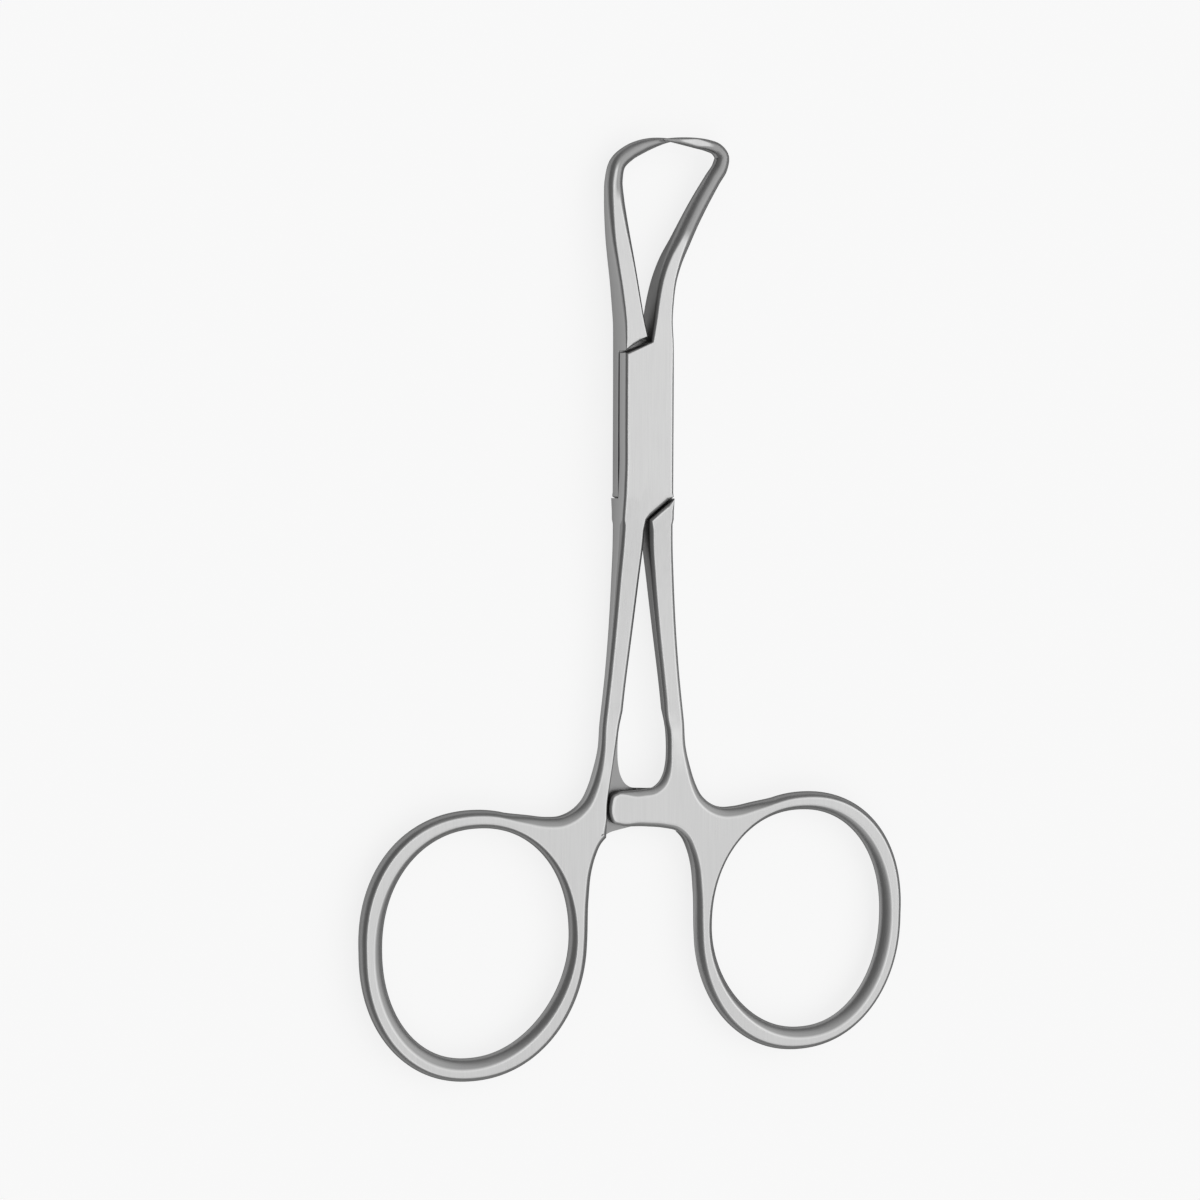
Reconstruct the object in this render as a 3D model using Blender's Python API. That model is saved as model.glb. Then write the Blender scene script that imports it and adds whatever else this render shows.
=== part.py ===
"""Towel clamp with finger rings: two steel forgings lapped at a flush pivot.

The clamp lies on its back. +Y runs along it towards the jaws, +Z is up out of its front face,
+X is the front view's right, and the origin is on the pivot at the back face. Each forging is one
loft round its own outline: a flat front and back joined by an edge whose rounding grows from
nearly square at the joint to a full round at the rings and the points.
"""
import math

import bmesh
import bpy
import numpy as np

MM = 0.001

# The lap joint
joint_width = 6.2 * MM
joint_thickness = 4.4 * MM
shoulder_top_side = 8.75 * MM
shoulder_top_notch = 10.3 * MM
shoulder_low_side = 8.2 * MM
shoulder_low_notch = 10.9 * MM
joint_edge_round = 0.2 * MM
lap_gap = 0.3 * MM
shoulder_gap = 0.3 * MM
jaw_root_gap = 0.34 * MM

# The pivot pin, flush at the back and blind under the front face
pin_diameter = 2.6 * MM
pin_clearance = 0.3 * MM
pin_cover = 0.5 * MM

# The arms, from the joint down to the ratchet
pivot_to_ratchet = 45.5 * MM
arm_root_thickness = 3.8 * MM
shank_thickness = 1.7 * MM
shank_edge_round = 0.37 * MM

# The finger rings
ring_centre_out = 21.05 * MM
ratchet_to_ring_centre = 15.25 * MM
ring_width = 25.9 * MM
ring_length = 30.0 * MM
ring_thickness = 2.2 * MM
ring_flat = 0.85 * MM
ring_outer_round = 0.65 * MM
ring_inner_round = 0.95 * MM
ring_squareness = 2.12

# The ratchet
bar_height = 4.0 * MM
bar_reach = 4.45 * MM
bar_edge_round = 0.5 * MM
bar_root_out = 4.88 * MM
tooth_count = 3
tooth_pitch = 1.3 * MM
tooth_depth = 0.35 * MM

# The points pass each other side by side
point_offset = 0.42 * MM

# How far up the edge its rounding reaches, as a share of the half thickness
FULL_RISE = 0.92
SOFT_RISE = 0.45

ROUND_STEPS = 3
RING_POINTS = 56
STEEL = (0.62, 0.62, 0.61, 1.0)
STEEL_ROUGHNESS = 0.32
half_width = joint_width / 2
half_thickness = joint_thickness / 2
beyond = 3 * joint_thickness

# Stations of the jaws: distance out from the middle line, height above the pivot, half width,
# half thickness as a share of the joint's, share of the half width that is rounded, offset share
LEFT_JAW = [
    (1.63, 10.30, 1.46, 1.00, 0.15, 0), (1.90, 12.60, 1.28, 0.97, 0.22, 0),
    (2.22, 15.00, 1.22, 0.91, 0.27, 0), (2.53, 17.30, 1.20, 0.82, 0.30, 0),
    (2.90, 19.70, 1.20, 0.73, 0.34, 0), (3.25, 22.00, 1.20, 0.64, 0.44, 0),
    (3.55, 24.40, 1.15, 0.57, 0.60, 0), (3.77, 26.70, 1.08, 0.50, 0.78, 0),
    (3.83, 28.96, 1.00, 0.46, 0.95, 0), (3.38, 30.90, 0.97, 0.43, 0.95, 0),
    (2.05, 32.15, 0.92, 0.40, 0.95, 0), (0.50, 32.95, 0.82, 0.34, 0.95, 0.1),
    (-1.10, 33.50, 0.62, 0.26, 0.95, 0.6), (-2.50, 33.82, 0.38, 0.17, 0.95, 1),
    (-4.00, 34.00, 0.10, 0.055, 0.90, 1),
]
RIGHT_JAW = [
    (1.63, 10.30, 1.46, 1.00, 0.15, 0), (1.80, 12.60, 1.22, 0.97, 0.25, 0),
    (2.09, 15.00, 1.15, 0.91, 0.30, 0), (2.55, 17.30, 1.12, 0.82, 0.36, 0),
    (3.40, 19.70, 1.12, 0.73, 0.44, 0), (4.60, 22.05, 1.12, 0.64, 0.60, 0),
    (5.85, 24.50, 1.10, 0.57, 0.80, 0), (7.27, 27.05, 1.05, 0.50, 0.95, 0),
    (8.74, 29.47, 0.98, 0.46, 0.95, 0), (9.75, 31.10, 0.94, 0.43, 0.95, 0),
    (9.95, 32.25, 0.86, 0.41, 0.95, 0), (9.30, 33.08, 0.76, 0.38, 0.95, 0),
    (8.10, 33.50, 0.67, 0.34, 0.95, 0), (6.60, 33.72, 0.57, 0.27, 0.95, 0.1),
    (5.10, 33.82, 0.47, 0.21, 0.95, 0.6), (3.70, 33.87, 0.32, 0.15, 0.95, 1),
    (2.30, 33.90, 0.10, 0.055, 0.90, 1),
]
# Stations of an arm: share of the way from the joint to the ratchet bar, distance of its middle
# from the middle line, half width, share of the way from the shank's thickness to the root's
ARM = [
    (0.00, 1.75, 1.57, 1.00), (0.11, 1.93, 1.53, 0.70), (0.20, 2.19, 1.46, 0.48),
    (0.30, 2.48, 1.38, 0.30), (0.39, 2.76, 1.31, 0.18), (0.48, 3.07, 1.25, 0.09),
    (0.57, 3.42, 1.18, 0.03), (0.66, 3.80, 1.12, 0.00), (0.75, 4.19, 1.08, 0.00),
]


def smooth(stations, step):
    """Points about `step` apart on a smooth curve through the stations, all columns carried."""
    p = np.array(stations, dtype=float)
    chord = np.linalg.norm(np.diff(p[:, :2], axis=0), axis=1)
    along = np.concatenate([[0.0], np.cumsum(chord)])
    slope = np.gradient(p, along, axis=0)
    count = max(2, round(along[-1] / step))
    s = np.linspace(0.0, along[-1], count + 1)
    k = np.clip(np.searchsorted(along, s, side="right") - 1, 0, len(chord) - 1)
    u = ((s - along[k]) / chord[k])[:, None]
    reach = chord[k][:, None]
    return ((1 + 2 * u) * (1 - u) ** 2 * p[k] + u * (1 - u) ** 2 * reach * slope[k]
            + u ** 2 * (3 - 2 * u) * p[k + 1] + u ** 2 * (u - 1) * reach * slope[k + 1])


def edge_rows(points, edge_round, edge_rise, shift=0.0):
    """Rows of x, y, half thickness, rounding inwards, rounding upwards and offset in height."""
    p = np.array(points, dtype=float)
    rows = np.zeros((len(p), 6))
    rows[:, :3] = p[:, :3]
    rows[:, 3] = edge_round
    rows[:, 4] = edge_rise
    rows[:, 5] = shift
    return rows


def jaw_rows(stations):
    """Both edges of a jaw, up the inner one to the point and back down the outer one."""
    s = np.array(stations, dtype=float)
    s[:, :3] *= MM
    s[:, 0] *= -1
    path = smooth(s, 0.8 * MM)
    way = np.gradient(path[:, :2], axis=0)
    way /= np.linalg.norm(way, axis=1)[:, None]
    across = np.stack([way[:, 1], -way[:, 0]], axis=1)
    half = path[:, 2]
    height = np.minimum(path[:, 3], 1) * half_thickness
    share = np.clip(path[:, 4], 0.1, 0.95)
    rows = []
    for side in (1, -1):
        edge = np.zeros((len(path), 8))
        edge[:, :2] = path[:, :2] + side * across * half[:, None]
        edge[:, 2] = height
        edge[:, 3] = half * share
        edge[:, 4] = height * share
        edge[:, 5] = -point_offset * path[:, 5]
        edge[:, 6:] = -side * across
        rows.append(edge if side > 0 else edge[::-1])
    return np.concatenate(rows)


def ring_curve(angles, grow):
    """A slightly square ellipse round the ring's middle, grown outwards by `grow`."""
    power = 2 / ring_squareness
    cos, sin = np.cos(angles), np.sin(angles)
    x = ring_centre_out + (ring_width / 2 + grow) * np.sign(cos) * np.abs(cos) ** power
    y = ring_middle + (ring_length / 2 + grow) * np.sign(sin) * np.abs(sin) ** power
    return np.stack([x, y], axis=1)


ratchet_y = -pivot_to_ratchet
ring_middle = ratchet_y - ratchet_to_ring_centre
ring_half_thickness = ring_thickness / 2


def outline_rows(jaw):
    """The whole edge of one forging, with its arm at +X and its jaw at -X, counter-clockwise."""
    arm_top = -shoulder_low_notch
    bar_top = ratchet_y + bar_height / 2
    bar_low = ratchet_y - bar_height / 2
    root = arm_root_thickness / 2
    thin = shank_thickness / 2
    arm = [((mid + side * half) * MM, arm_top + share * (bar_top - arm_top), thin + thick * (root - thin))
           for side in (1, -1) for share, mid, half, thick in ARM]
    outer_arm, inner_arm = arm[:len(ARM)][::-1], arm[len(ARM):]
    web = ring_half_thickness
    # ring, from beside the web round the bottom and the far side to the top
    round_ring = np.radians(np.linspace(182, 465, RING_POINTS))
    ring = np.column_stack([ring_curve(round_ring, ring_flat / 2 + ring_outer_round),
                            np.full(RING_POINTS, web)])
    # hollow curve from the top of the ring up to the arm
    low, high = ring[-1], np.array(outer_arm[0])
    hollow = [(0.764, 1.08), (0.567, 1.157), (0.412, 1.164), (0.283, 1.08), (0.176, 0.91),
              (0.105, 0.66), (0.050, 0.38)]
    start = (high[0] + 0.43 * MM, high[1] - 3.0 * MM)
    fillet = [(start[0] + across * (low[0] - start[0]), start[1] + down * (low[1] - start[1]), web)
              for across, down in hollow]
    outer = smooth([ring[-2], ring[-1]] + fillet + [(*start, 1.05 * high[2])] + outer_arm, 1.2 * MM)[1:]
    outer = outer[outer[:, 1] < arm_top - 0.5 * MM]
    outer[:, 2] = np.minimum(outer[:, 2], half_thickness)
    side = np.array([(half_width + 0.21 * MM, arm_top, root),
                     (half_width + 0.12 * MM, -shoulder_low_side, half_thickness),
                     (half_width, -0.6 * shoulder_low_side, half_thickness),
                     (half_width, 0, half_thickness),
                     (half_width, shoulder_top_side, half_thickness)])
    jaw_edges = jaw_rows(jaw)
    far_side = [(-half_width, 0.6 * shoulder_top_side, half_thickness), (-half_width, 0, half_thickness),
                (-half_width, -shoulder_low_side, half_thickness),
                (jaw_root_gap / 2, arm_top, root)]
    # inner edge of the arm, the ratchet bar and the web down to the ring
    corner = inner_arm[-1][0]
    inner = smooth(inner_arm + [
        (corner, bar_top + 4.8 * MM, web), (corner - 0.05 * MM, bar_top + 2.2 * MM, web),
        (corner - 0.25 * MM, bar_top + 0.95 * MM, web), (corner - 0.8 * MM, bar_top + 0.3 * MM, web),
        (corner - 1.9 * MM, bar_top, web), (0, bar_top - 0.05 * MM, web)], 0.75 * MM)[1:]
    end = [(-bar_reach + 1.2 * MM, bar_top - 0.1 * MM, web), (-bar_reach + 0.35 * MM, bar_top - 0.5 * MM, web),
           (-bar_reach, bar_top - 1.5 * MM, web), (-bar_reach + 0.05 * MM, bar_low + 1.1 * MM, web),
           (-bar_reach + 0.45 * MM, bar_low + 0.3 * MM, web), (-bar_reach + 1.4 * MM, bar_low, web)]
    join = ring[0]
    under = smooth([(0, bar_low - 0.05 * MM, web), (join[0] - 4.3 * MM, bar_low - 0.25 * MM, web),
                    (join[0] - 2.7 * MM, bar_low - 0.8 * MM, web),
                    (join[0] - 1.65 * MM, bar_low - 1.9 * MM, web),
                    (join[0] - 0.95 * MM, bar_low - 3.4 * MM, web),
                    (join[0] - 0.45 * MM, bar_low - 5.2 * MM, web),
                    (join[0] - 0.12 * MM, bar_low - 8.5 * MM, web), ring[0], ring[1]], 1.1 * MM)[:-3]
    # the edge's rounding eases from the ring's full round to the arm's and the bar's
    ease = np.clip((outer[:, 1] - bar_low) / (bar_top + 8 * MM - bar_low), 0, 1)
    near_ring = np.clip((outer[:, 0] - high[0]) / (low[0] - high[0]), 0, 1)
    outer_round = ring_outer_round + ease * (shank_edge_round - ring_outer_round)
    outer_rise = (SOFT_RISE + near_ring * (FULL_RISE - SOFT_RISE)) * outer[:, 2]
    down = np.clip((bar_low - under[:, 1]) / (bar_low - ring[0][1]), 0, 1)
    under_round = bar_edge_round + down * (ring_outer_round - bar_edge_round)
    under_rise = (SOFT_RISE + down * (FULL_RISE - SOFT_RISE)) * web
    return np.concatenate([
        pad(edge_rows(ring, ring_outer_round, FULL_RISE * web)),
        pad(edge_rows(outer, outer_round, outer_rise)),
        pad(edge_rows(side, joint_edge_round, joint_edge_round)),
        jaw_edges,
        pad(edge_rows(far_side, joint_edge_round, joint_edge_round)),
        pad(edge_rows(inner, shank_edge_round, SOFT_RISE * inner[:, 2])),
        pad(edge_rows(end, bar_edge_round, SOFT_RISE * web)),
        pad(edge_rows(under, under_round, under_rise)),
    ])


def pad(rows):
    """Two more columns for the way inwards, worked out later."""
    return np.column_stack([rows, np.full((len(rows), 2), np.nan)])


def hole_rows():
    """The finger hole, clockwise, rounded most on the side away from the web."""
    angle = np.radians(np.linspace(0, -360, RING_POINTS, endpoint=False))
    inner_round = ring_inner_round * (1 + 0.4 * np.cos(angle + math.radians(45)))
    edge = ring_curve(angle, -ring_flat / 2)
    middle = np.array([ring_centre_out, ring_middle])
    inwards = edge - middle
    inwards /= np.linalg.norm(inwards, axis=1)[:, None]
    wall = edge - inwards * inner_round[:, None]
    rows = edge_rows(np.column_stack([wall, np.full(len(wall), ring_half_thickness)]),
                     inner_round, FULL_RISE * ring_half_thickness)
    return np.column_stack([rows, inwards])


def fill_inwards(rows):
    """The way into the metal at each point: the mitre of the two edges that meet there."""
    p = rows[:, :2]
    before = p - np.roll(p, 1, axis=0)
    after = np.roll(p, -1, axis=0) - p
    before /= np.linalg.norm(before, axis=1)[:, None]
    after /= np.linalg.norm(after, axis=1)[:, None]
    left = [np.stack([-way[:, 1], way[:, 0]], axis=1) for way in (before, after)]
    facing = np.clip(np.sum(left[0] * left[1], axis=1), -0.3, 1)
    mitre = (left[0] + left[1]) / (1 + facing)[:, None]
    missing = np.isnan(rows[:, 6])
    rows[missing, 6:] = mitre[missing]
    return rows


def loft(loops):
    """A closed solid: the rounded wall round each loop, and the flat front and back between them."""
    turn = np.radians(np.linspace(90, 0, ROUND_STEPS + 1))
    bm = bmesh.new()
    faces = []
    for rows in loops:
        layers = []
        for side, angles in ((-1, turn), (1, turn[::-1])):
            for angle in angles:
                place = rows[:, :2] + rows[:, 6:] * (rows[:, 3] * (1 - math.cos(angle)))[:, None]
                height = rows[:, 2] - rows[:, 4] * (1 - math.sin(angle))
                z = half_thickness + rows[:, 5] + side * height
                layers.append([bm.verts.new((x, y, level)) for (x, y), level in zip(place, z)])
        count = len(rows)
        for below, above in zip(layers, layers[1:]):
            for i in range(count):
                j = (i + 1) % count
                bm.faces.new((below[i], below[j], above[j], above[i]))
        faces.append((layers[0], layers[-1]))
    for side in (0, 1):
        rim = []
        for pair in faces:
            ring = pair[side]
            rim += [bm.edges.get((ring[i - 1], ring[i])) for i in range(len(ring))]
        bmesh.ops.triangle_fill(bm, use_beauty=True, use_dissolve=False, edges=rim)
    bmesh.ops.recalc_face_normals(bm, faces=bm.faces)
    return bm


def new_object(name, mesh, collection):
    piece = bpy.data.objects.new(name, mesh)
    collection.objects.link(piece)
    return piece


def prism(name, points, low, high):
    """A cutter: a flat outline raised from one height to another."""
    outline = bpy.data.curves.new(name, "CURVE")
    outline.dimensions = "2D"
    outline.fill_mode = "BOTH"
    outline.extrude = (high - low) / 2
    spline = outline.splines.new("POLY")
    spline.points.add(len(points) - 1)
    for point, (x, y) in zip(spline.points, points):
        point.co = (x, y, 0, 1)
    spline.use_cyclic_u = True
    drawn = new_object(name + "_outline", outline, cutters)
    mesh = bpy.data.meshes.new_from_object(drawn.evaluated_get(bpy.context.evaluated_depsgraph_get()))
    bpy.data.objects.remove(drawn)
    bm = bmesh.new()
    bm.from_mesh(mesh)
    bmesh.ops.remove_doubles(bm, verts=bm.verts, dist=1e-7)
    bmesh.ops.recalc_face_normals(bm, faces=bm.faces)
    bmesh.ops.translate(bm, verts=bm.verts, vec=(0, 0, (low + high) / 2))
    bm.to_mesh(mesh)
    bm.free()
    return as_cutter(new_object(name, mesh, cutters))


def as_cutter(piece):
    piece.hide_render = True
    piece.display_type = "WIRE"
    return piece


def cut(piece, cutter):
    modifier = piece.modifiers.new(cutter.name, "BOOLEAN")
    modifier.operation = "DIFFERENCE"
    modifier.object = cutter


def lap_cutter(name):
    """Clears the front layer for the other half's plate, from shoulder to shoulder."""
    def on_line(x, x0, y0, x1, y1):
        return y0 + (x - x0) * (y1 - y0) / (x1 - x0)
    root = jaw_root_gap / 2
    reach = 2 * half_width
    upper = [(x, shoulder_gap + on_line(x, -half_width, shoulder_top_side, root, shoulder_top_notch))
             for x in (reach, -reach)]
    lower = [(x, -shoulder_gap + on_line(x, half_width, -shoulder_low_side, -root, -shoulder_low_notch))
             for x in (-reach, reach)]
    return prism(name, upper + lower, half_thickness - lap_gap / 2, beyond)


def bar_cutter(name):
    """Leaves only the front half of the thickness on the ratchet bar, clear of the other bar."""
    bar_top = ratchet_y + bar_height / 2
    bar_low = ratchet_y - bar_height / 2
    edge = [(bar_root_out - 2.3 * MM, bar_top + 10.6 * MM), (bar_root_out - 0.8 * MM, bar_top + 5.0 * MM),
            (bar_root_out - 0.43 * MM, bar_top + 2.2 * MM), (bar_root_out, bar_top - 0.5 * MM),
            (bar_root_out, bar_low - 2.5 * MM)]
    far = -bar_reach - joint_width
    points = edge[::-1] + [(far, edge[0][1]), (far, edge[-1][1])]
    return prism(name, points, -beyond, half_thickness + lap_gap / 2)


def tooth_cutter(name, index):
    """One notch between ratchet teeth: steep on the side that holds, sloped on the other."""
    start = (index - tooth_count / 2) * tooth_pitch
    root = half_thickness + lap_gap / 2
    profile = [(start, root - tooth_depth), (start + tooth_pitch, root - tooth_depth),
               (start + tooth_pitch, root), (start, root + tooth_depth)]
    bm = bmesh.new()
    ends = []
    for y in (ratchet_y - bar_height, ratchet_y + bar_height):
        ends.append([bm.verts.new((x, y, z)) for x, z in profile])
    bm.faces.new(ends[0])
    bm.faces.new(ends[1])
    for i in range(len(profile)):
        bm.faces.new((ends[0][i - 1], ends[0][i], ends[1][i], ends[1][i - 1]))
    bmesh.ops.recalc_face_normals(bm, faces=bm.faces)
    mesh = bpy.data.meshes.new(name)
    bm.to_mesh(mesh)
    bm.free()
    return as_cutter(new_object(name, mesh, cutters))


def pin_hole_cutter(name, low, high):
    bm = bmesh.new()
    radius = pin_diameter / 2 + pin_clearance
    bmesh.ops.create_cone(bm, cap_ends=True, segments=40, radius1=radius, radius2=radius, depth=high - low)
    bmesh.ops.translate(bm, verts=bm.verts, vec=(0, 0, (low + high) / 2))
    mesh = bpy.data.meshes.new(name)
    bm.to_mesh(mesh)
    bm.free()
    return as_cutter(new_object(name, mesh, cutters))


def steel(name):
    material = bpy.data.materials.new(name)
    material.use_nodes = True
    shader = material.node_tree.nodes["Principled BSDF"]
    shader.inputs["Base Color"].default_value = STEEL
    shader.inputs["Metallic"].default_value = 1.0
    shader.inputs["Roughness"].default_value = STEEL_ROUGHNESS
    return material


def forging(name, jaw, hole_low, hole_high, turned):
    """One half: jaw, lap plate, arm, ratchet bar and finger ring in one piece."""
    bm = loft([fill_inwards(outline_rows(jaw)), hole_rows()])
    mesh = bpy.data.meshes.new(name)
    bm.to_mesh(mesh)
    bm.free()
    piece = new_object(name, mesh, parts)
    cut(piece, lap_cutter(name + "_lap"))
    cut(piece, bar_cutter(name + "_bar"))
    for index in range(tooth_count):
        cut(piece, tooth_cutter(f"{name}_tooth_{index + 1}", index))
    cut(piece, pin_hole_cutter(name + "_hole", hole_low, hole_high))
    bpy.context.view_layer.update()
    solid = bpy.data.meshes.new_from_object(piece.evaluated_get(bpy.context.evaluated_depsgraph_get()))
    if turned:
        bm = bmesh.new()
        bm.from_mesh(solid)
        for vert in bm.verts:
            vert.co.x = -vert.co.x
            vert.co.z = joint_thickness - vert.co.z
        bm.to_mesh(solid)
        bm.free()
    piece.modifiers.clear()
    piece.data = solid
    solid.materials.clear()
    solid.materials.append(steel(name + "_steel"))
    solid.shade_smooth()
    solid.set_sharp_from_angle(angle=math.radians(35))
    return piece


def pivot_pin():
    """Fixed in the back half's plate, ground flush with its back face."""
    top = joint_thickness - pin_cover - pin_clearance
    bm = bmesh.new()
    bmesh.ops.create_cone(bm, cap_ends=True, segments=40, radius1=pin_diameter / 2,
                          radius2=pin_diameter / 2, depth=top)
    bmesh.ops.translate(bm, verts=bm.verts, vec=(0, 0, top / 2))
    mesh = bpy.data.meshes.new("pivot_pin")
    bm.to_mesh(mesh)
    bm.free()
    mesh.materials.append(steel("pin_steel"))
    mesh.shade_smooth()
    mesh.set_sharp_from_angle(angle=math.radians(35))
    return new_object("pivot_pin", mesh, parts)


for old in list(bpy.data.objects):
    bpy.data.objects.remove(old)
parts = bpy.data.collections.new("towel_clamp")
cutters = bpy.data.collections.new("cutters")
for group in (parts, cutters):
    bpy.context.scene.collection.children.link(group)

forging("rear_half", LEFT_JAW, -beyond, beyond, False)
forging("front_half", RIGHT_JAW, pin_cover, beyond, True)
pivot_pin()
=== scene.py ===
import math

import bmesh
import bpy
import numpy as np
from mathutils import Matrix, Vector
from mathutils.geometry import delaunay_2d_cdt


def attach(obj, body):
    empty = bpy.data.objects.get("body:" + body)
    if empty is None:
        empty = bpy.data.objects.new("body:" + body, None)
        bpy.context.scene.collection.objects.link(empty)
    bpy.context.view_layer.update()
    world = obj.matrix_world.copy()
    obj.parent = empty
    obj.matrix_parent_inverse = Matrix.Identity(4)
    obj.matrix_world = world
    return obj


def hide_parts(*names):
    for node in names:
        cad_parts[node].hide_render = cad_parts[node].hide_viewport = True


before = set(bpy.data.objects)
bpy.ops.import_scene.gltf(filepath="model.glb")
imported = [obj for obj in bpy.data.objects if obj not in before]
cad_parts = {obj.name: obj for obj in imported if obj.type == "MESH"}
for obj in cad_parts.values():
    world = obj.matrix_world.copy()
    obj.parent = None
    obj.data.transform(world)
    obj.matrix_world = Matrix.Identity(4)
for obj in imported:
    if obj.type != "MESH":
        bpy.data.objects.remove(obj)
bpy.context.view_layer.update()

# The clamp's lengths below are in millimetres, and angles in degrees
MM = 0.001

# The camera
# It looks down on the clamp from the left at the photograph's angle, close enough for the
# near arm to look a little longer than the far one.
camera_place = Vector((-108.02, -0.55, 266.83)) * MM
camera_right = Vector((0.93245493, 0.00321045, 0.36127205))
camera_up = Vector((0.02223708, 0.99755461, -0.06625941))
camera_back = Vector((-0.36060133, 0.06981755, 0.93010332))
camera_lens = bpy.data.cameras.new("camera")
camera_lens.lens = 72
camera_lens.sensor_width = 36
camera_lens.clip_start = 0.01
camera = bpy.data.objects.new("camera", camera_lens)
camera.matrix_world = Matrix.Translation(camera_place) @ Matrix(
    (camera_right, camera_up, camera_back)).transposed().to_4x4()
bpy.context.scene.collection.objects.link(camera)
bpy.context.scene.camera = camera

# The rear half
# One steel forging: the left jaw, the plate of the lap joint behind, the right arm with its
# ratchet bar, and the right finger ring. Its flats are ground after the edges are rounded.

# The joint and its shoulders
joint_width = 6.2
joint_thickness = 4.4
shoulder_top_side = 8.75
shoulder_top_notch = 10.3
shoulder_low_side = 8.2
shoulder_low_notch = 10.9
notch_opening = 0.35
shoulder_bow = 0.004
top_shoulder_points = 12
low_shoulder_points = 14
low_edge_points = 7
low_corner_room = 0.5
corner_room = 1.2
joint_gap = 0.3
seam_gap = 0.42
seated_pin_hole = 1.33
# The jaw's root, the arm and the hollow from the arm to the ring
jaw_root_gap = 0.34
arm_root_half = 1.9
arm_root_out = 0.21
joint_low_out = 0.12
shank_half = 0.85
hollow_start = (0.23, -3.0)
hollow_thicker = 1.05
arm_top_room = 0.5
shank_round_above = 8
# Where the hollow's wall fades from the outer walls' painted light to the top walls' painted shade,
# as shares of the way to the ring
top_wall_painted_light_fade = (0.05, 0.35)
# The finger ring
ratchet_y = -45.5
ring_out = 21.05
ring_y = ratchet_y - 15.25
ring_half_width = 12.95
ring_half_length = 15.0
ring_half_thickness = 1.1
ring_flat = 0.85
ring_squareness = 2.12
ring_lean = 0.45
hole_lean = 1.6
ring_shoulder = 0.8
ring_from = 182
ring_to = 465
ring_points = 260
hole_points = 220
stem_angles = (190, 250)
# The ratchet bar
bar_half_height = 2.0
bar_reach = 4.45
bar_end_break = 0.15
bar_tip = 0.3
bar_end_top = 1.2
bar_end_low = 1.4
bar_end_fade = 2.6
bar_top_fade = 5
bar_root_out = 4.78
step_overrun = 2.5
step_round_fade = (3, 9)
tooth_count = 3
tooth_pitch = 1.3
tooth_depth = 0.35
tooth_slope = 0.004
tooth_overrun = 1.5
# How far edges are rounded inwards, and the share of the half thickness rounded upwards
joint_edge_round = 0.3
low_edge_round = 0.5
sharp_corner_round = 0.12
shank_edge_round = 0.45
hollow_round = 0.5
ring_outer_round = 0.65
ring_inner_round = 0.95
hole_round_swing = 0.4
hole_round_turn = 45
stem_round = 0.80
bar_top_round = 0.85
bar_low_round = 0.60
bar_end_round = 0.35
step_edge_round = 0.20
shank_round_share = 0.45
ring_round_share = 0.92
# The angle at which a rounding ends: at a ground flat, on a round tip, and where no flat is left
ground_edge_angle = 64
round_edge_angle = 89
no_flat_angle = 88
flat_fade_angle = 8
# The narrow break between a rounding and its flat, and the most that the seam takes of a wall
edge_break = 0.10
narrow_break_share = 0.3
seam_share = 0.9
# How finely roundings and circles are divided, and where an edge or a corner counts as sharp
rounding_steps = 8
circle_points = 96
sharp_angle = 32
sharpest_mitre = -0.3
# Painted light on the upright walls, from 0 for the satin's colour to 1 for the ground flats':
# the outer walls are painted light, the walls facing up and the finger hole's get less, as painted
# shade
outer_wall_painted_light = 0.8
top_wall_painted_light = 0.25
hole_wall_painted_light = 0.4
# How far apart the points are in the middle of the flats, and as shares of that, how far they
# keep from a flat's rim and from a step in it
flat_spacing = 0.9
jaw_spacing = 0.6
bar_spacing = 0.5
rim_room = 0.5
step_room = 0.3

# Stations of the left jaw's middle line: out, up, half width, thickness against the joint's,
# share of the half width that is rounded, and share of the shift in height that lets points pass
left_jaw = [
    (1.63, 10.30, 1.46, 1.00, 0.15, 0), (1.90, 12.60, 1.28, 0.97, 0.22, 0),
    (2.22, 15.00, 1.22, 0.91, 0.27, 0), (2.53, 17.30, 1.20, 0.82, 0.30, 0),
    (2.90, 19.70, 1.20, 0.73, 0.34, 0), (3.25, 22.00, 1.20, 0.64, 0.44, 0),
    (3.55, 24.40, 1.15, 0.57, 0.60, 0), (3.77, 26.70, 1.08, 0.50, 0.78, 0),
    (3.83, 28.96, 1.00, 0.46, 0.95, 0), (3.38, 30.90, 0.97, 0.43, 0.95, 0),
    (2.05, 32.15, 0.92, 0.40, 0.95, 0), (0.50, 32.95, 0.82, 0.34, 0.95, 0.1),
    (-1.10, 33.50, 0.62, 0.26, 0.95, 0.6), (-2.50, 33.82, 0.38, 0.17, 0.95, 1),
    (-4.00, 34.00, 0.10, 0.055, 0.90, 1),
]
left_jaw_outer_share = 0.65
points_shift = 0.42
jaw_bend = (28.5, 32)
least_round_share = 0.1
most_round_share = 0.95
flat_fades_from = 0.5
flat_fades_over = 0.4
# Stations of the arm: share of the way down to the bar, the middle's way out, half width, and
# thickness from the shank's at 0 to the root's at 1
arm_stations = [
    (0.00, 1.75, 1.57, 1.00), (0.11, 1.93, 1.53, 0.70), (0.20, 2.19, 1.46, 0.48),
    (0.30, 2.48, 1.38, 0.30), (0.39, 2.76, 1.31, 0.18), (0.48, 3.07, 1.25, 0.09),
    (0.57, 3.40, 1.20, 0.03), (0.66, 3.74, 1.19, 0.00), (0.75, 4.05, 1.22, 0.00),
]
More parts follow.
